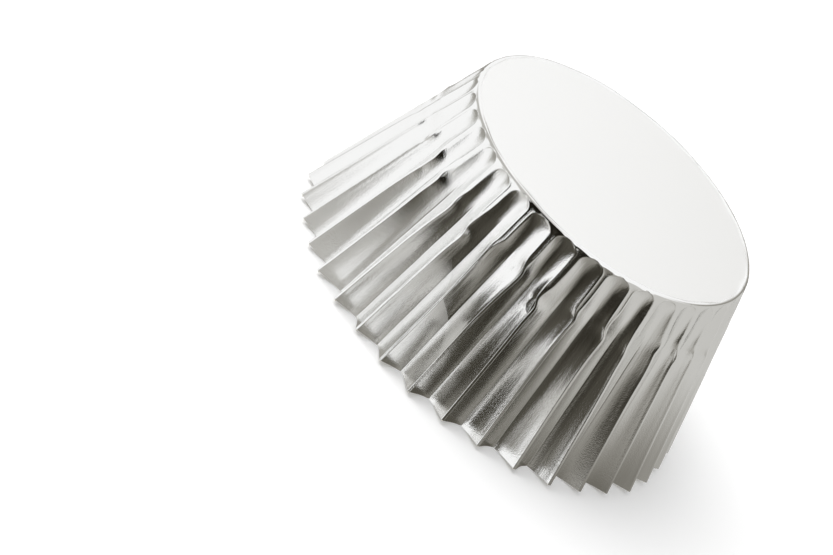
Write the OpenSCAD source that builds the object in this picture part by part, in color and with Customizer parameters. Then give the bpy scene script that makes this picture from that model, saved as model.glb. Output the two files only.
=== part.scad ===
// Foil cupcake liner with a greaseproof paper lining, standing mouth down on its rim.
// Each of its two sheets starts as a flat disc and is pressed into flutes round a flat base.
// The origin is the centre of the mouth, on the surface that the rim stands on, with +Z up
// through the base.

/* [Base] */
// Diameter of the flat base disc
base_d = 50; // [30:0.5:60]

/* [Wall] */
// Length of the wall along its slope, from the base edge to the rim
wall_slant = 32; // [20:0.5:60]
// Diameter of the mouth across the ridges
mouth_d = 68.8; // [62:0.2:90]
// How far the mouth is out of round, along the radius
mouth_swell = 0.65; // [0:0.05:1.5]

/* [Flutes] */
// Number of flutes pressed round the wall, with a ridge between each two
flutes = 36; // [24:1:48]
// Depth of a flute at the rim, along the radius
rim_depth = 2.8; // [1:0.1:4]
// Extra depth of a flute near its rounded end, under the base edge
end_depth = 0.5; // [0:0.05:1.2]
// Width of a flute there, as a share of the way from one ridge to the next
flute_share = 0.75; // [0.5:0.05:0.9]
// Distance down the slope at which a flute starts
flute_start = 0.2; // [0:0.05:1]
// Length of slope over which it widens, round its end
end_length = 1.4; // [0.5:0.1:4]
// Length of slope over which it deepens
sink_length = 3; // [1:0.1:5]

/* [Ridges] */
// Distance down the slope at which the flat strips between the flutes start to narrow
strip_length = 5.5; // [3:0.1:8]
// Distance down the slope at which they are pinched to creases
crease_start = 9.6; // [8.2:0.2:15]
// Width of a crease
crease_w = 0.5; // [0.2:0.05:0.8]
// Sideways bend of a ridge where its crease starts, as a share of the way to the next ridge
crease_bend = 0.08; // [0:0.01:0.15]
// Wander of the ridges from even spacing, in degrees
ridge_wander = 1.4; // [0:0.1:2]
// Difference between one ridge and the next at the rim, along the radius
ridge_vary = 0.25; // [0:0.05:0.5]

/* [Sheets] */
// Thickness of the foil
foil_t = 0.1; // [0.06:0.01:0.2]
// Thickness of the paper
paper_t = 0.1; // [0.06:0.01:0.2]
// Gap between the two walls, which touch only at the base
wall_gap = 0.15; // [0.05:0.05:0.3]
// How far the paper's ridges reach past the foil's at the rim
paper_proud = 0.3; // [0:0.05:0.5]

/* [Hidden] */

base_r = base_d / 2;
ridge_r = mouth_d / 2;
valley_r = ridge_r - rim_depth;
// A valley leans out less than a ridge of the same length, so its end reaches lower
height = sqrt(wall_slant ^ 2 - (valley_r - base_r) ^ 2);

// Each ring of points has a ridge's middle and edge, a flute's side and its valley, and the side
// and edge on the far side of the valley
steps_to_valley = 3;
points_per_flute = 2 * steps_to_valley;
around = flutes * points_per_flute;
// Rings of points down the slope, closest at the flutes' rounded ends
rings = [0, flute_start + 0.3 * end_length, flute_start + end_length, strip_length, crease_start, wall_slant];
// Least width of a rounded end, as a share of the flute's width
least_width = 0.7;
// Softness of the bend across a flute: a fold with a rounded valley at the rim, and what a flute
// near the base has on top of that
fold_softness = 0.35;
round_softness = 1.2;
// Length of slope over which the sideways bend of a ridge fades out
bend_length = 5;
// Distance down the slope over which the base's thickness turns into the wall's
edge_height = 1;
// Turns, in degrees, that mix up the heights of the ridges and their bends
ridge_turn = 97;
bend_turn = 137;
// The mouth is slightly three-cornered, with one corner towards this turn from +X
corners = 3;
swell_turn = 142;
wander_turn = 128;
// The ridges also drift to one side, by a share of their wander
drift = 0.4;
drift_turn = 66;
// The paper's ridges reach past the foil's only near the rim, by this power of the slope
proud_power = 8;

// A fixed mix of values from -1 to 1, one for each ridge
function mixed(k, turn) = sin(turn * (k % flutes));

// Width of a flute's rounded end, and its depth, as shares of the full ones
function left_over(s, length) = min(1, max(0, 1 - (s - flute_start) / length));
function opened(s) = sqrt(1 - left_over(s, end_length) ^ 2);
function sunk(s) = 1 - left_over(s, sink_length) ^ 2;

// Radius and height of a straight line down the slope to a given radius at the rim
function slope_line(s, end_r) =
    let(drop = sqrt(wall_slant ^ 2 - (end_r - base_r) ^ 2))
    [base_r + (end_r - base_r) * s / wall_slant, height - drop * s / wall_slant];

// The ridges lie on a plain cone, and the flutes are pressed into it
function ridge(s, k) =
    slope_line(s, ridge_r) + [ridge_vary * mixed(k, ridge_turn) * s / wall_slant, 0];
function valley(s) =
    slope_line(s, valley_r) - [end_depth * (1 - s / wall_slant) * sunk(s), 0];

// Half the width of a ridge at its top, as a share of the way to the next ridge: a flat strip
// near the base and a narrow crease below it
function half_ridge(s) =
    let(crease = crease_w / 2 / (2 * PI * slope_line(s, ridge_r)[0] / flutes),
        pinched = min(1, max(0, (s - strip_length) / (crease_start - strip_length))),
        flute = flute_share / 2 * max(least_width, opened(s)))
    (0.5 - flute) * (1 - pinched) + crease * pinched;

// Height across a flute, from 0 in the valley to 1 at the ridges beside it
function rise(share, s) =
    let(softness = fold_softness + round_softness * exp(-(s / crease_start) ^ 2))
    (norm([share, softness]) - softness) / (norm([1, softness]) - softness);

// How far the mouth swells, and how the ridges crowd and spread with it
function swell(a, s) = mouth_swell * sin(corners * a - swell_turn) * s / wall_slant;
function wander(a) = ridge_wander * (sin(corners * a - wander_turn) + drift * sin(a - drift_turn));

// The ridge nearest to point i of a ring, and the steps to the point from its middle
function ridge_at(i) = round(i / points_per_flute);
function steps_off(i) = i - ridge_at(i) * points_per_flute;

// How much of a ridge's height point i has at slope distance s
function ridge_share(i, s) =
    let(to_valley = steps_to_valley - abs(steps_off(i)))
    rise(min(1, to_valley / (steps_to_valley - 1)), s);

// Point i of the outer skin's ring at slope distance s
function skin_point(i, s) =
    let(k = ridge_at(i),
        steps = steps_off(i),
        edge = half_ridge(s),
        off = steps == 0 ? 0 : edge + (0.5 - edge) * (abs(steps) - 1) / (steps_to_valley - 1),
        up = ridge_share(i, s),
        bend = crease_bend * mixed(k, bend_turn) * up * exp(-((s - crease_start) / bend_length) ^ 2),
        a = 360 * (k + sign(steps) * off + bend) / flutes,
        heading = a + wander(a),
        p = valley(s) * (1 - up) + ridge(s, k) * up,
        r = p[0] + swell(a, s))
    [r * cos(heading), r * sin(heading), p[1]];

// Unit vector in plan that points inward from the line between two points of a ring
function inward(from, to) = let(t = to - from) [-t[1], t[0]] / norm([t[0], t[1]]);

// The same point moved in by inset[0] across both panels that meet there, and at the base down
// by inset[1]
function wall_point(i, s, inset, proud) =
    let(p = skin_point(i, s),
        n = inward(skin_point(i - 1, s), p),
        m = inward(p, skin_point(i + 1, s)),
        move = inset[0] * (n + m) / (1 + n * m),
        past = proud * ridge_share(i, s) * (s / wall_slant) ^ proud_power)
    p + [move[0], move[1], -inset[1] * exp(-s / edge_height) - past];

// A sheet as one closed shell: the base, the wall down to the rim, and the same back up inside
module pleated_sheet(outer, inner, proud) {
    last = len(rings) - 1;
    path = concat([for (k = [0:last]) [rings[k], outer]], [for (k = [last:-1:0]) [rings[k], inner]]);
    points = [for (step = path) for (i = [0:around - 1]) wall_point(i, step[0], step[1], proud)];
    wall = [for (k = [0:len(path) - 2]) for (i = [0:around - 1])
        let(a = k * around + i,
            b = k * around + (i + 1) % around,
            c = b + around,
            d = a + around)
        // the inner skin's panels are split along the same diagonal as the outer skin's
        each k <= last ? [[a, b, c], [a, c, d]] : [[a, b, d], [b, c, d]]];
    base_top = [for (i = [around - 1:-1:0]) i];
    base_underside = [for (i = [0:around - 1]) (len(path) - 1) * around + i];
    polyhedron(points, concat(wall, [base_top, base_underside]), convexity = 10);
}

// Insets of the four skins, from the foil's outside to the paper's inside
foil_outer = [0, 0];
foil_inner = foil_outer + [foil_t, foil_t];
paper_outer = foil_inner + [wall_gap, 0];
paper_inner = paper_outer + [paper_t, paper_t];

module foil_cup() {
    color("silver") pleated_sheet(foil_outer, foil_inner, 0);
}

module paper_lining() {
    color("cornsilk") pleated_sheet(paper_outer, paper_inner, paper_proud);
}

foil_cup();
paper_lining();
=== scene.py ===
# Foil cupcake liner with a paper lining, standing mouth down on a pale table
import math
import random

import bmesh
import bpy
from mathutils import Matrix, Vector, noise


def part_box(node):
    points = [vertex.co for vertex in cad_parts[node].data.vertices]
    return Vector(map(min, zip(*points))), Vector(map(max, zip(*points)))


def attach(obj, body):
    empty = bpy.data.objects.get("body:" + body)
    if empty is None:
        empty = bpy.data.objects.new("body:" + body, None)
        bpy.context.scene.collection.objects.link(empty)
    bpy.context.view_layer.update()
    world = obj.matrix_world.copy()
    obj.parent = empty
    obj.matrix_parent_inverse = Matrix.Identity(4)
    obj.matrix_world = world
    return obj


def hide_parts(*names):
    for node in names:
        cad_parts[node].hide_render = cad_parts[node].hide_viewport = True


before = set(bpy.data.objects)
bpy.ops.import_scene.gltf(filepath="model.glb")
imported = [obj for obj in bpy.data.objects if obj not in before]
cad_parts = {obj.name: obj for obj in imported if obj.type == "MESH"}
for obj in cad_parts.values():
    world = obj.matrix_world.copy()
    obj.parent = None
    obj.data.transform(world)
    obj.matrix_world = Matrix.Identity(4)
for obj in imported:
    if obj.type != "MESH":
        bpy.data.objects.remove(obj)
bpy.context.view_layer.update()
scene = bpy.context.scene
mm = 0.001
print("solids loaded")


# Camera: on the liner's -Y side, rolled so that the base leans up to the right
shot = {
    "place": (12.566, -399.848, 217.953),
    "aim": (-11.986, -8.809, 1.107),
    "roll": -40.89,  # degrees
    "lens": 129.65,  # for a sensor 36 wide
    "nearest": 10.0,  # anything closer isn't drawn
}


def addCamera():
    data = bpy.data.cameras.new("camera")
    data.lens = shot["lens"]
    data.sensor_fit = "HORIZONTAL"
    data.clip_start = shot["nearest"] * mm
    camera = bpy.data.objects.new("camera", data)
    scene.collection.objects.link(camera)
    place = Vector(shot["place"]) * mm
    look = (Vector(shot["aim"]) * mm - place).normalized()
    turn = look.to_track_quat("-Z", "Y").to_matrix().to_4x4()
    roll = Matrix.Rotation(math.radians(-shot["roll"]), 4, "Z")
    camera.matrix_world = Matrix.Translation(place) @ turn @ roll
    scene.camera = camera
    return camera.matrix_world.to_3x3()


view = addCamera()  # its columns are the picture's right, up and towards-the-camera
print("camera placed")


# Node trees are built by a small helper: add(type, inputs...) and join the sockets
class Nodes:
    def __init__(self, tree):
        self.tree = tree
        tree.nodes.clear()

    def add(self, kind, inputs=None, **settings):
        node = self.tree.nodes.new(kind)
        for name, value in settings.items():
            setattr(node, name, value)
        for key, value in (inputs or {}).items():
            socket = node.inputs[key]
            if isinstance(value, bpy.types.NodeSocket):
                self.tree.links.new(value, socket)
            else:
                socket.default_value = value
        return node

    def math(self, operation, a, b=0.0, c=0.0):
        return self.add("ShaderNodeMath", {0: a, 1: b, 2: c}, operation=operation).outputs[0]

    def vector(self, operation, a, b=(0.0, 0.0, 0.0)):
        return self.add("ShaderNodeVectorMath", {0: a, 1: b}, operation=operation).outputs[0]

    def dot(self, a, b):
        node = self.add("ShaderNodeVectorMath", {0: a, 1: b}, operation="DOT_PRODUCT")
        return node.outputs["Value"]

    # low up to start, high from end on, and a soft step between; start may be past end
    def smooth(self, value, start, end, low=0.0, high=1.0):
        node = self.add("ShaderNodeMapRange", {"Value": value, "From Min": start, "From Max": end,
                                               "To Min": low, "To Max": high},
                        interpolation_type="SMOOTHSTEP")
        return node.outputs["Result"]

    def mixShader(self, share, first, second):
        return self.add("ShaderNodeMixShader", {0: share, 1: first.outputs[0], 2: second.outputs[0]})


def newMaterial(name):
    material = bpy.data.materials.new(name)
    material.use_nodes = True
    return material, Nodes(material.node_tree)


def addMesh(name, bm, material):
    data = bpy.data.meshes.new(name)
    bm.to_mesh(data)
    bm.free()
    data.materials.append(material)
    thing = bpy.data.objects.new(name, data)
    scene.collection.objects.link(thing)
    return thing


# Studio: a white tent that is open and dark towards the camera, over a pale table top.
# It is drawn on the world by direction, level with the way the liner leans in the picture.
studio = {
    "up": (0.0, 0.970, 0.242),  # the room's up: right, up and towards the camera in the picture
    "openTowards": (-10.5, 18.0),  # turn and height of the dark opening's middle, in degrees
    "openHalf": (26.5, 29.5),  # where the opening ends, and where the tent is fully white
    "tent": 1.07,
    "dark": 0.012,
    "low": (0.15, -0.45, 0.3),  # heights of a ray between which the tent turns grey, and how grey
    "top": (0.68, 0.86, 0.5),  # the same overhead
    "back": (0.46, 0.22, 0.35),  # and behind the liner
    "behind": (0.1, -0.2),  # how far towards the front a ray points where that begins and is full
    "warmth": (1.03, 1.11),  # powers of green and blue, so that a darker grey is a warmer one
    "fill": 0.5,  # plain light on matt things
    "key": 3.2,  # and a softbox for them
    "keyFrom": (-0.6, 0.15, 0.78),
    "keyEdge": (14.0, 38.0),  # degrees from its middle where it starts to fade, and where it ends
}
up = view @ Vector(studio["up"]).normalized()
right = view @ Vector((1, 0, 0))
front = right.cross(up)


def warm(n, level):
    green, blue = (n.math("POWER", level, power) for power in studio["warmth"])
    return n.add("ShaderNodeCombineColor", {0: level, 1: green, 2: blue}).outputs[0]


def addWorld():
    world = bpy.data.worlds.new("studio")
    scene.world = world
    world.use_nodes = True
    n = Nodes(world.node_tree)
    direction = n.add("ShaderNodeTexCoord").outputs["Generated"]

    # 0 in a round patch of directions and 1 outside it
    def outside(middle, half):
        inner, outer = (math.cos(math.radians(angle)) for angle in half)
        return n.smooth(n.dot(direction, middle), inner, outer)

    turn, lift = (math.radians(angle) for angle in studio["openTowards"])
    opening = (front * math.cos(turn) + right * math.sin(turn)) * math.cos(lift) + up * math.sin(lift)
    tent = n.math("MULTIPLY", outside(opening, studio["openHalf"]), studio["tent"])
    height = n.dot(direction, up)
    behind = n.smooth(n.dot(direction, front), *studio["behind"])
    for part, mask in (("low", 1.0), ("top", 1.0), ("back", behind)):
        start, end, grey = studio[part]
        loss = n.math("MULTIPLY", n.smooth(height, start, end, 0.0, 1.0 - grey), mask)
        tent = n.math("MULTIPLY", tent, n.math("SUBTRACT", 1.0, loss))
    level = n.math("MAXIMUM", tent, studio["dark"])
    beside = outside(Vector(studio["keyFrom"]).normalized(), studio["keyEdge"])
    key = n.math("MULTIPLY", n.math("SUBTRACT", 1.0, beside), studio["key"])
    white = (1, 1, 1, 1)
    mirrored = n.add("ShaderNodeBackground", {"Color": warm(n, level), "Strength": 1.0})
    plain = n.add("ShaderNodeBackground", {"Color": white, "Strength": n.math("ADD", studio["fill"], key)})
    backdrop = n.add("ShaderNodeBackground", {"Color": white, "Strength": 1.0})
    path = n.add("ShaderNodeLightPath")
    lit = n.mixShader(path.outputs["Is Glossy Ray"], plain, mirrored)
    shown = n.mixShader(path.outputs["Is Camera Ray"], lit, backdrop)
    n.add("ShaderNodeOutputWorld", {"Surface": shown.outputs[0]})


addWorld()


# Cards that only the foil mirrors: the table as the tilted liner sees it, and upright cards that
# stand round its left side. Places are millimetres to the right and towards the camera, with
# heights in the studio's own level.
mirroredTable = {
    "height": -22.4,  # just under the liner's lowest corner
    "span": (-220.0, 200.0, -80.0, 330.0),  # left, right, back and front
    "light": 0.63,
    "fade": (100.0, 350.0, 0.36),  # where the light falls off towards the front, and to what share
    "wedge": (0.08, 0.76),  # slopes between which the dark middle fades into the sides
    "wedgeLevels": (0.35, 0.02),  # its brightness near the liner and in front
    "wedgeFrom": (32.0, 128.0),  # where it turns from one to the other
    "shade": (7.0, 20.0),  # middle of the liner's own shade
    "shadeSize": (0.0, 38.0, 0.2),  # where the shade starts and ends, and how dark it is
}
uprightCards = {
    "reflector": {
        # each end's place, to the right and towards the camera, and its bottom and top
        "ends": ((-43.0, 101.0, -67.0, -14.0), (-4.0, 23.0, 9.0, 18.5)),
        "levels": (0.62, 0.63),  # brightness at the two ends
        "softEnds": (0.0, 7.0),  # how gradually the card begins at each end
        "softFoot": 4.0,  # above the table
        "softEdges": 4.0,  # along its bottom and top
    },
    "screen": {
        "ends": ((-18.5, 42.0, -44.0, 24.0), (0.0, 73.0, -44.0, 27.0)),
        "levels": (0.1, 0.03),
        "softEnds": (2.0, 3.0),
        "softFoot": 7.0,
        "softEdges": 3.0,
    },
}


# paint(n, across, above, ahead) gives a card's brightness, and how much of it is there
def addCard(name, corners, paint):
    material, n = newMaterial(name)
    place = n.add("ShaderNodeTexCoord").outputs["Object"]
    level, cover = paint(n, *(n.dot(place, axis / mm) for axis in (right, up, front)))
    lamp = n.add("ShaderNodeEmission", {"Color": warm(n, level), "Strength": 1.0})
    clear = n.add("ShaderNodeBsdfTransparent")
    there = n.math("MULTIPLY", n.add("ShaderNodeLightPath").outputs["Is Glossy Ray"], cover)
    seen = n.mixShader(there, clear, lamp)
    n.add("ShaderNodeOutputMaterial", {"Surface": seen.outputs[0]})
    bm = bmesh.new()
    bm.faces.new([bm.verts.new((right * x + up * y + front * z) * mm) for x, y, z in corners])
    addMesh(name, bm, material)


def paintTable(n, across, above, ahead):
    inner, outer = mirroredTable["wedge"]
    slope = n.math("DIVIDE", across, n.math("MAXIMUM", ahead, 1.0))
    dark = n.smooth(n.math("ABSOLUTE", slope), outer, inner)
    middle = n.smooth(ahead, *mirroredTable["wedgeFrom"], *mirroredTable["wedgeLevels"])
    light = mirroredTable["light"]
    start, end, share = mirroredTable["fade"]
    sides = n.smooth(ahead, start, end, light, light * share)
    level = n.math("ADD", n.math("MULTIPLY", middle, dark),
                   n.math("MULTIPLY", sides, n.math("SUBTRACT", 1.0, dark)))
    x, z = mirroredTable["shade"]
    away = n.math("SQRT", n.math("ADD", n.math("POWER", n.math("SUBTRACT", across, x), 2.0),
                                 n.math("POWER", n.math("SUBTRACT", ahead, z), 2.0)))
    start, end, least = mirroredTable["shadeSize"]
    return n.math("MULTIPLY", level, n.smooth(away, start, end, least, 1.0)), 1.0


def paintUpright(card):
    (x0, z0, bottom0, top0), (x1, z1, bottom1, top1) = card["ends"]
    soft0, soft1 = card["softEnds"]
    foot = mirroredTable["height"]
    hair = 0.001  # so that a hard end has a width too

    def paint(n, across, above, ahead):
        cover = n.smooth(above, foot, foot + card["softFoot"])
        for none, full in ((x0 - hair, x0 + soft0), (x1 + hair, x1 - soft1)):
            cover = n.math("MULTIPLY", cover, n.smooth(across, none, full))
        for start, end, inward in ((bottom0, bottom1, 1.0), (top0, top1, -1.0)):
            slope = (end - start) / (x1 - x0)
            line = n.math("MULTIPLY_ADD", across, slope, start - slope * x0)
            inside = n.math("MULTIPLY", n.math("SUBTRACT", above, line), inward)
            cover = n.math("MULTIPLY", cover, n.smooth(inside, 0.0, card["softEdges"]))
        return n.smooth(across, x0, x1, *card["levels"]), cover

    return paint


def addCards():
    x0, x1, z0, z1 = mirroredTable["span"]
    y = mirroredTable["height"]
    addCard("mirroredTable", ((x0, y, z0), (x1, y, z0), (x1, y, z1), (x0, y, z1)), paintTable)
    for name, card in uprightCards.items():
        (x0, z0, bottom0, top0), (x1, z1, bottom1, top1) = card["ends"]
        corners = ((x0, bottom0, z0), (x1, bottom1, z1), (x1, top1, z1), (x0, top0, z0))
        addCard(name, corners, paintUpright(card))


addCards()


# Table: a pale sheet that keeps the liner's shadow and is not mirrored in the foil
table = {
    "half": 1500.0,
    "color": (0.9, 0.9, 0.9, 1),
    "glow": 0.19,  # so that it looks white away from the shadow
}


def tableMaterial():
    material, n = newMaterial("table")
    matt = n.add("ShaderNodeBsdfDiffuse", {"Color": table["color"]})
    glow = n.add("ShaderNodeEmission", {"Strength": table["glow"]})
    pale = n.add("ShaderNodeAddShader", {0: matt.outputs[0], 1: glow.outputs[0]})
    clear = n.add("ShaderNodeBsdfTransparent")
    seen = n.mixShader(n.add("ShaderNodeLightPath").outputs["Is Glossy Ray"], pale, clear)
    n.add("ShaderNodeOutputMaterial", {"Surface": seen.outputs[0]})
    return material


def addTable():
    bm = bmesh.new()
    bmesh.ops.create_grid(bm, x_segments=1, y_segments=1, size=table["half"] * mm)
    addMesh("table", bm, tableMaterial())


addTable()
print("studio ready")


# The liner's form, in millimetres: the same cone and flutes as the solids, with their creases.
# Distances down the slope start at the base edge.
liner = {
    "pleats": 36,
    "baseRadius": 25.0,
    "mouthRadius": 34.4,  # at the ridges
    "slant": 32.0,  # length of the wall down its slope
    "pleatDepth": 2.8,
    "height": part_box("foil_cup")[1].z / mm,
    "corners": 3,  # the mouth is slightly three-cornered
    "swell": (0.65, 142),  # how far it is out of round, and how far that is turned, in degrees
    "wander": (1.4, 128),  # the ridges crowd and spread with it: by how many degrees, and its turn
    "drift": (0.4, 66),  # and drift to one side: share of that, and its turn
    # a flute
    "fluteShare": 0.84,  # width of a flute near its round end, as a share of a pleat
    "fluteStart": 0.3,
    "leastShare": 0.02,  # share of that width with which it starts
    "endLength": 1.4,  # length of slope over which it opens to its width
    "endSlope": 3.0,  # and over which it reaches its full depth
    "startCut": 0.5,  # extra depth of the flutes at their round ends
    "startRound": 1.2,  # and how much rounder they are there
    "lip": 0.05,  # the foil is turned up a little along a flute's side
    "lipReach": {"crease": 0.4, "flute": 0.08},  # shares of the zones on both sides of that
    "valleyFold": (0.22, 0.25),  # depth of the sharp fold in a valley, and how far it reaches
    "valleyFoldFrom": (5, 11),  # distances down the slope between which it begins
    "valleyBumps": (3, 1.3, 0.05),  # along it: shift from one valley to the next, per mm, height
    "valleyBumpsFrom": (7, 12),
    # a ridge
    "foldStart": 9.6,  # where the ridges are pinched to a crease
    "creaseHalf": 0.24,  # half its width
    "creaseHeight": 0.13,
    "creaseNotch": 0.08,  # the foil dips at the foot of a crease
    "groove": (0.8, 0.35),  # along parts of a crease: share of its height, share of its width
    "grooveLength": 4.0,  # length of slope over which the groove comes or goes
    "ridgeVary": (0.25, 97),  # how far ridges stand out at the rim, and a turn that mixes them up
    "ridgeBend": (0.08, 137),  # sideways bend, as a share of a pleat, and its turn
    "bendLength": 5,  # length of slope over which the bend fades out
    "kinkLength": (0.7, 3.0),  # length of slope of a kink itself, and over which it fades
    "dentSize": (0.35, 0.7),  # across and down
    "waves": ((2.5, 0.06, 0.05), (1.2, 0.25, 0.04), (6, 0.5, 0.008)),  # per pleat, per mm, height
    "wavesFrom": (0.3, 3),  # distances down the slope between which they begin
    "proudPower": 8,  # the paper's creases reach past the foil's only near the rim
    "slanted": 1.35,  # how much thicker a sheet is along the radius, because pleats' sides slant
    # the base
    "beadHeight": 0.09,  # the disc lies up to this much below its edge
    "bead": (-0.75, -0.35),  # where it rises to the edge
    "beadLumps": (0.45, 7, 2, 3),  # how uneven, how often round the base; how far and often that strays
    "beadWaver": (0.07, 9, 23),  # how far its inner side wavers, and two counts of how often
    "beadFade": 0.5,  # length of wall over which it fades out
    "corner": (0.13, 0.17),  # how much is rounded off the edge, and over what length
    "cornerTowards": (0.6, 0.8),  # inward and down
    "edgeHeight": 1.0,  # length of wall over which the base's thickness turns into the wall's
    "evenInside": 0.4,  # this far in from the edge, a row's points are spread out evenly
}
liner["valleyRadius"] = liner["mouthRadius"] - liner["pleatDepth"]

# Each ridge and each flute is a little different within these limits, drawn from a fixed seed
spread = {
    "kinkAt": (7.5, 10.5),  # distance down the slope of a ridge's kink
    "kink": (0.03, 0.09),  # how far aside, as a share of a pleat
    "kinkSide": (-1, 1, 1),
    "taperFrom": (3.5, 7.0),  # the strip between two flutes narrows from here
    "taperTo": (8.0, 11.0),  # to here
    "crease": (0.6, 1.3),  # share of the usual height of a crease, and of its notch
    "dents": 3,  # number beside each ridge
    "dentAcross": (-1.2, 1.2),  # place to the side of it
    "dentAt": (6.5, 11.5),  # and down the slope
    "dent": (-0.16, 0.16),
    "deeper": (-0.25, 0.35),  # extra depth of a flute at the rim
    "lean": (-0.04, 0.04),  # how far aside its valley lies, as a share of a pleat
    "round": (0.7, 1.1),  # a low number gives a sharp valley
    "start": (-0.1, 0.1),  # how much further down it starts
}
chance = random.Random(11)


def draw(name):
    return chance.uniform(*spread[name])


def sine(degrees):
    return math.sin(math.radians(degrees))


def ramp(x, start, end):
    x = min(1.0, max(0.0, (x - start) / (end - start)))
    return x * x * (3 - 2 * x)


def bell(x, width):
    return math.exp(-((x / width) ** 2))


# A smooth mix of values from -1 to 1, another one for each layer
layers = {"waves": (0, 7, 3), "groove": 5, "valley": 9}


def lumps(x, y, layer):
    return noise.noise(Vector((x, y, layer)))


def drawRidge(k):
    vary, varyTurn = liner["ridgeVary"]
    bend, bendTurn = liner["ridgeBend"]
    return {
        "out": vary * sine(varyTurn * k),
        "bend": bend * sine(bendTurn * k),
        "kinkAt": draw("kinkAt"),
        "kink": draw("kink") * chance.choice(spread["kinkSide"]),
        "tapers": [(draw("taperFrom"), draw("taperTo")) for side in range(2)],
        "crease": draw("crease"),
        "dents": [(draw("dentAcross"), draw("dentAt"), draw("dent")) for dent in range(spread["dents"])],
    }


ridges = [drawRidge(k) for k in range(liner["pleats"])]
flutes = [{name: draw(name) for name in ("deeper", "lean", "round", "start")}
          for k in range(liner["pleats"])]


# Radius and height of a straight line down the slope to a given radius at the rim
def slopeLine(s, endRadius):
    out = endRadius - liner["baseRadius"]
    drop = math.sqrt(liner["slant"] ** 2 - out ** 2)
    part = s / liner["slant"]
    return liner["baseRadius"] + out * part, liner["height"] - drop * part


# How far the foil stands out near ridge k: turned up along the edge between its strip and a flute,
# and further down pinched to a bead with a groove along parts of it
def creaseForm(k, zone, share, s, taper):
    crease = ridges[k % liner["pleats"]]["crease"] * taper
    out = liner["lip"] * (1 - taper) * bell(1 - share, liner["lipReach"][zone])
    if zone == "crease":
        depth, reach = liner["groove"]
        there = 0.5 + 0.5 * lumps(k, s / liner["grooveLength"], layers["groove"])
        dip = depth * there * bell(share, reach)
        out += liner["creaseHeight"] * crease * (math.sqrt(1 - share ** 2) - dip)
    elif share == 1:
        out -= liner["creaseNotch"] * crease
    return out


# How far the foil is folded in at a distance from a flute's valley: sharper than the sides beside
# it, and a little bumpy along the fold
def valleyForm(pleat, away, s):
    depth, reach = liner["valleyFold"]
    fold = depth * ramp(s, *liner["valleyFoldFrom"]) * math.exp(-away / reach)
    if away == 0:
        step, number, height = liner["valleyBumps"]
        bumps = height * (1 + lumps(pleat * step, s * number, layers["valley"]))
        fold += bumps * ramp(s, *liner["valleyBumpsFrom"])
    return fold


# Dents beside a ridge, and the waves of the foil at q pleats round the liner
def dentsAndWaves(ridge, across, q, s):
    wide, long = liner["dentSize"]
    out = sum(size * bell(across - place, wide) * bell(s - at, long) for place, at, size in ridge["dents"])
    for (around, along, height), layer in zip(liner["waves"], layers["waves"]):
        out += height * lumps(q * around, s * along, layer) * ramp(s, *liner["wavesFrom"])
    return out


# How far the base lies below its highest edge, an uneven low bead
def baseSink(s, heading):
    swing, number, stray, slow = liner["beadLumps"]
    raised = 1 - swing + swing * math.sin(number * heading + stray * math.sin(slow * heading))
    if s < 0:
        waver, few, many = liner["beadWaver"]
        raised *= ramp(s + waver * (math.sin(few * heading) + math.sin(many * heading)), *liner["bead"])
    return liner["beadHeight"] * (1 - raised) * math.exp(-max(0.0, s) / liner["beadFade"])


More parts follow.
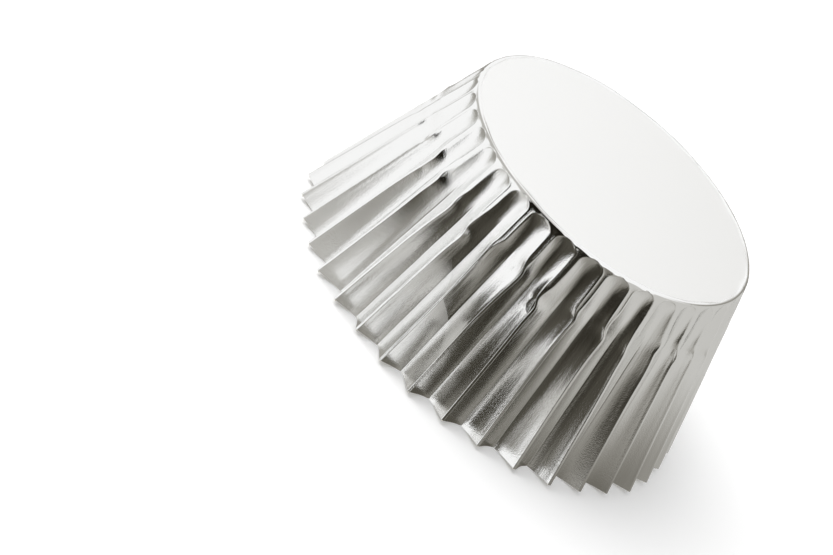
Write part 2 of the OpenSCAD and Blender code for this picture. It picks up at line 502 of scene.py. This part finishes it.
# A point in a column at distance s down the slope, or that far in on the base where s is negative.
# It lies on the foil's outside, or further in and down by inset.
def wallPoint(pleat, column, s, inset):
    side, zone, share = column
    k = pleat + side
    ridge = ridges[k % liner["pleats"]]
    flute = flutes[pleat]
    towards = 1 - 2 * side  # from the ridge to the flute's valley
    down = max(0.0, s)
    part = down / liner["slant"]
    ridgeR, ridgeZ = slopeLine(down, liner["mouthRadius"])
    valleyR, valleyZ = slopeLine(down, liner["valleyRadius"])
    ridgeR += ridge["out"] * part
    pitch = 2 * math.pi * ridgeR / liner["pleats"]

    # the flute's round end, and the flat strip beside it that narrows to a crease
    begun = (s - liner["fluteStart"] - flute["start"]) / liner["endLength"]
    opened = math.sqrt(1 - (1 - min(1.0, begun)) ** 2) if begun > 0 else 0.0
    if s < -liner["evenInside"]:
        opened = 1.0
    taper = ramp(s, *ridge["tapers"][side])
    strip = (1 - liner["fluteShare"]) / 2 * (1 - taper) + liner["creaseHalf"] / pitch * taper
    middle = 0.5 + flute["lean"] * towards
    edge = middle - (middle - strip) * max(liner["leastShare"], opened)
    if zone == "flute":
        soft = flute["round"] + liner["startRound"] * bell(down, liner["foldStart"])
        away = edge + (middle - edge) * (1 - share)
        rise = (math.hypot(share, soft) - soft) / (math.hypot(1, soft) - soft)
    else:
        away = edge * share
        rise = 1.0

    # where the ridge bends aside, and has its kink
    past = s - ridge["kinkAt"]
    kinkLength, fadeLength = liner["kinkLength"]
    shift = ridge["bend"] * bell(s - liner["foldStart"], liner["bendLength"])
    shift += ridge["kink"] * math.tanh(past / kinkLength) * bell(past, fadeLength)
    q = k + towards * away + shift * rise

    z = valleyZ + (ridgeZ - valleyZ) * rise
    r = ridgeR if s > 0 else liner["baseRadius"]
    if s > 0 and begun > 0:
        depth = liner["startCut"] * (1 - part) + flute["deeper"] * part
        sunk = min(1.0, begun * liner["endLength"] / liner["endSlope"])
        valleyR -= depth * (1 - (1 - sunk) ** 2)
        r = valleyR + (ridgeR - valleyR) * rise + creaseForm(k, zone, share, s, taper)
    if s > 0:
        r += dentsAndWaves(ridge, towards * away * pitch, q, s)
    if s > 0 and zone == "flute":
        r -= valleyForm(pleat, share * (middle - edge) * pitch, s)

    degrees = 360 * q / liner["pleats"]
    swell, swellTurn = liner["swell"]
    wander, wanderTurn = liner["wander"]
    drift, driftTurn = liner["drift"]
    r += swell * sine(liner["corners"] * degrees - swellTurn) * part
    crowding = sine(liner["corners"] * degrees - wanderTurn) + drift * sine(degrees - driftTurn)
    heading = math.radians(degrees + wander * crowding)

    cut = liner["corner"][0] * math.exp(-abs(s) / liner["corner"][1])
    cutIn, cutDown = liner["cornerTowards"]
    r -= inset[0] + cutIn * cut
    z -= inset[1] * math.exp(-down / liner["edgeHeight"]) + cutDown * cut + baseSink(s, heading)
    if s < 0:
        r *= 1 + s / liner["baseRadius"]
    return Vector((r * math.cos(heading), r * math.sin(heading), z)) * mm


# The points of a sheet stand in rows round it, closest at the flutes' round ends, and in columns
meshing = {
    # distances in from the base's edge, and down the slope from it
    "base": (20.0, 14.0, 8.0, 4.0, 2.0, 1.2, 0.8, 0.68, 0.57, 0.46, 0.35, 0.24, 0.15, 0.09, 0.04),
    "edge": (0.0, 0.04, 0.09, 0.14),
    "ends": (14, 1.6),  # steps over a flute's round end, and a power that draws them to its start
    "fineStep": (0.42, 13.0),  # below that: length of a step, and up to where
    "step": (0.8, 1.4),  # and further down: length of a step, and what is left to the rim
    "rim": (0.4, 0.1, 0.02, 0.0),  # distances from the rim
    "plain": (0.0, 0.6, 1.8, 4.5, 7.0, 9.6, 13.0, 18.0, 25.0),  # on a skin that faces the other sheet
    "plainRim": (0.1, 0.0),
    "spacing": {"crease": 0.8, "flute": 1.3},  # powers that space the columns unevenly
    "weld": 0.0002,  # points closer than this are one, as in the middle of the base
}


# Rows by their distance down the slope, with those on the base below zero
def sheetRows(fine):
    rows = [-liner["baseRadius"]] + [-inside for inside in meshing["base"]]
    if not fine:
        return rows + [*meshing["plain"]] + [liner["slant"] - left for left in meshing["plainRim"]]
    steps, power = meshing["ends"]
    rows += meshing["edge"]
    rows += [liner["fluteStart"] + liner["endLength"] * (k / steps) ** power for k in range(steps + 1)]
    step, left = meshing["step"]
    for length, end in (meshing["fineStep"], (step, liner["slant"] - left)):
        while rows[-1] < end:
            rows.append(rows[-1] + length)
    return rows + [liner["slant"] - left for left in meshing["rim"]]


# A pleat's columns run from one ridge to the next: (side, zone, share of the zone)
def pleatColumns(inCrease, inFlute):
    spacing = meshing["spacing"]
    half = [("crease", (k / inCrease) ** spacing["crease"]) for k in range(inCrease)]
    half += [("flute", (1 - k / inFlute) ** spacing["flute"]) for k in range(inFlute)]
    valley = (0, "flute", 0.0)
    return [(0, *place) for place in half] + [valley] + [(1, *place) for place in reversed(half[1:])]


# A sheet as one closed shell: a grid that runs from the middle of the base down the outside, round
# the rim and back up the inside
def pleatedSheet(name, sheet, outside, inside, material):
    rows = [(s, outside) for s in sheetRows(sheet["fineOutside"])]
    rows += [(s, inside) for s in reversed(sheetRows(sheet["fineInside"]))]
    columns = pleatColumns(*sheet["columns"])
    around = liner["pleats"] * len(columns)
    bm = bmesh.new()
    bmesh.ops.create_grid(bm, x_segments=around, y_segments=len(rows) - 1, size=1)
    for v in bm.verts:
        i = round((v.co.x + 1) / 2 * around) % around
        s, inset = rows[round((v.co.y + 1) / 2 * (len(rows) - 1))]
        column = columns[i % len(columns)]
        v.co = wallPoint(i // len(columns), column, s, inset)
        if column[1] == "crease":
            v.co.z -= sheet["proud"] * mm * (max(0.0, s) / liner["slant"]) ** liner["proudPower"]
    bmesh.ops.remove_doubles(bm, verts=bm.verts, dist=meshing["weld"] * mm)
    bmesh.ops.recalc_face_normals(bm, faces=bm.faces)
    for face in bm.faces:
        face.smooth = True
    return addMesh(name, bm, material)


# Bright rolled foil: sharp reflections, with a fine grain and streaks drawn out along the flutes,
# and a slightly satin base whose paler colour is painted light, so that it reflects brighter than the wall
foilLook = {
    "color": (0.86, 0.86, 0.85, 1),
    # painted light: a paler colour on the base, so that it reflects brighter than the wall's foil
    "baseColorPaintedLight": (0.94, 0.94, 0.93, 1),
    "roughness": (0.04, 0.1),
    "patches": (900.0, (0.35, 0.65)),  # of either roughness: number per metre, and where they part
    "satin": 0.26,  # how much rougher the base is, inside its edge
    "baseInside": (0.3, 0.9),  # distances in from that edge between which the base's look begins
    "wallBelow": (0.2, 1.5),  # distances below the base between which the wall's look begins
    "grain": (6500.0, 0.5),  # number per metre, and strength
    "baseGrain": 0.15,  # share of that on the base
    "streaks": (3000.0, 60.0, 0.35),  # number per metre across and along, and strength
    "streaksRadius": 30.0,  # where they are as close as that
    "relief": 0.05,  # height of grain and streaks
}


def foilMaterial():
    material, n = newMaterial("foil")
    place = n.add("ShaderNodeTexCoord").outputs["Object"]
    plan = n.vector("MULTIPLY", place, (1, 1, 0))
    out = n.add("ShaderNodeVectorMath", {0: plan}, operation="LENGTH").outputs["Value"]
    height = n.add("ShaderNodeSeparateXYZ", {0: place}).outputs["Z"]
    wall = n.smooth(height, *((liner["height"] - below) * mm for below in foilLook["wallBelow"]))
    base = n.smooth(out, *((liner["baseRadius"] - inside) * mm for inside in foilLook["baseInside"]))
    base = n.math("MULTIPLY", base, n.math("SUBTRACT", 1.0, wall))

    scale, parting = foilLook["patches"]
    patch = n.add("ShaderNodeTexNoise", {"Vector": place, "Scale": scale, "Detail": 3.0, "Roughness": 0.6})
    bright = n.smooth(patch.outputs["Fac"], *parting, *foilLook["roughness"])
    rough = n.math("ADD", bright, n.math("MULTIPLY", base, foilLook["satin"]))
    # painted light: the base takes the paler colour and reflects brighter than the wall
    color = n.add("ShaderNodeMixRGB", {0: base, 1: foilLook["color"], 2: foilLook["baseColorPaintedLight"]})

    # the streaks follow the flutes: their pattern runs round the axis and down the wall
    across, down, streaky = foilLook["streaks"]
    turn = n.vector("NORMALIZE", plan)
    turned = n.add("ShaderNodeVectorMath", {0: turn, "Scale": foilLook["streaksRadius"] * mm * across},
                   operation="SCALE").outputs[0]
    drawn = n.vector("ADD", turned, n.vector("MULTIPLY", place, (0, 0, down)))
    streaks = n.add("ShaderNodeTexNoise", {"Vector": drawn, "Scale": 1.0, "Detail": 2.0})
    relief = foilLook["relief"] * mm
    pressed = n.add("ShaderNodeBump", {"Height": streaks.outputs["Fac"], "Distance": relief,
                                       "Strength": n.math("MULTIPLY", wall, streaky)})
    scale, strength = foilLook["grain"]
    grain = n.add("ShaderNodeTexNoise", {"Vector": place, "Scale": scale, "Detail": 2.0})
    grainy = n.math("MULTIPLY", n.smooth(wall, 0.0, 1.0, foilLook["baseGrain"], 1.0), strength)
    bump = n.add("ShaderNodeBump", {"Height": grain.outputs["Fac"], "Distance": relief,
                                    "Strength": grainy, "Normal": pressed.outputs["Normal"]})
    shader = n.add("ShaderNodeBsdfPrincipled", {"Base Color": color.outputs[0], "Metallic": 1.0,
                                                "Roughness": rough, "Normal": bump.outputs["Normal"]})
    n.add("ShaderNodeOutputMaterial", {"Surface": shader.outputs[0]})
    return material


# Greaseproof paper: matt, with short fibres
paperLook = {
    "color": (0.86, 0.84, 0.76, 1),
    "roughness": 0.75,
    "fibres": (2500.0, 0.3),  # number per metre, and strength
    "relief": 0.05,
}


def paperMaterial():
    material, n = newMaterial("paper")
    place = n.add("ShaderNodeTexCoord").outputs["Object"]
    scale, strength = paperLook["fibres"]
    fibres = n.add("ShaderNodeTexNoise", {"Vector": place, "Scale": scale, "Detail": 4.0})
    bump = n.add("ShaderNodeBump", {"Height": fibres.outputs["Fac"], "Strength": strength,
                                    "Distance": paperLook["relief"] * mm})
    shader = n.add("ShaderNodeBsdfPrincipled", {"Base Color": paperLook["color"],
                                                "Roughness": paperLook["roughness"],
                                                "Normal": bump.outputs["Normal"]})
    n.add("ShaderNodeOutputMaterial", {"Surface": shader.outputs[0]})
    return material


# The two sheets. Their insets are how far a skin lies in along the radius and down at the base.
foilSheet = {
    "thick": 0.1,
    "columns": (4, 10),  # points across half a crease and half a flute
    "fineOutside": True,  # only the skin that shows has fine rows
    "fineInside": False,
    "proud": 0.0,
}
paperSheet = {
    "thick": 0.1,
    "gap": 0.15,  # between the walls of the two sheets
    "columns": (2, 4),
    "fineOutside": False,
    "fineInside": True,
    "proud": 0.3,  # its creases reach this far past the foil's at the rim
}
foilOut = (0.0, 0.0)
foilIn = (liner["slanted"] * foilSheet["thick"], foilSheet["thick"])
paperOut = (foilIn[0] + paperSheet["gap"], foilIn[1])
paperIn = (paperOut[0] + liner["slanted"] * paperSheet["thick"], paperOut[1] + paperSheet["thick"])

foilCup = pleatedSheet("foilCup", foilSheet, foilOut, foilIn, foilMaterial())
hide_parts("foil_cup")
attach(foilCup, "root")
print("foil cup pressed:", len(foilCup.data.polygons), "faces")

paperLining = pleatedSheet("paperLining", paperSheet, paperOut, paperIn, paperMaterial())
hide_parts("paper_lining")
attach(paperLining, "root")
print("paper lining pressed:", len(paperLining.data.polygons), "faces")

scene.view_settings.view_transform = "Standard"
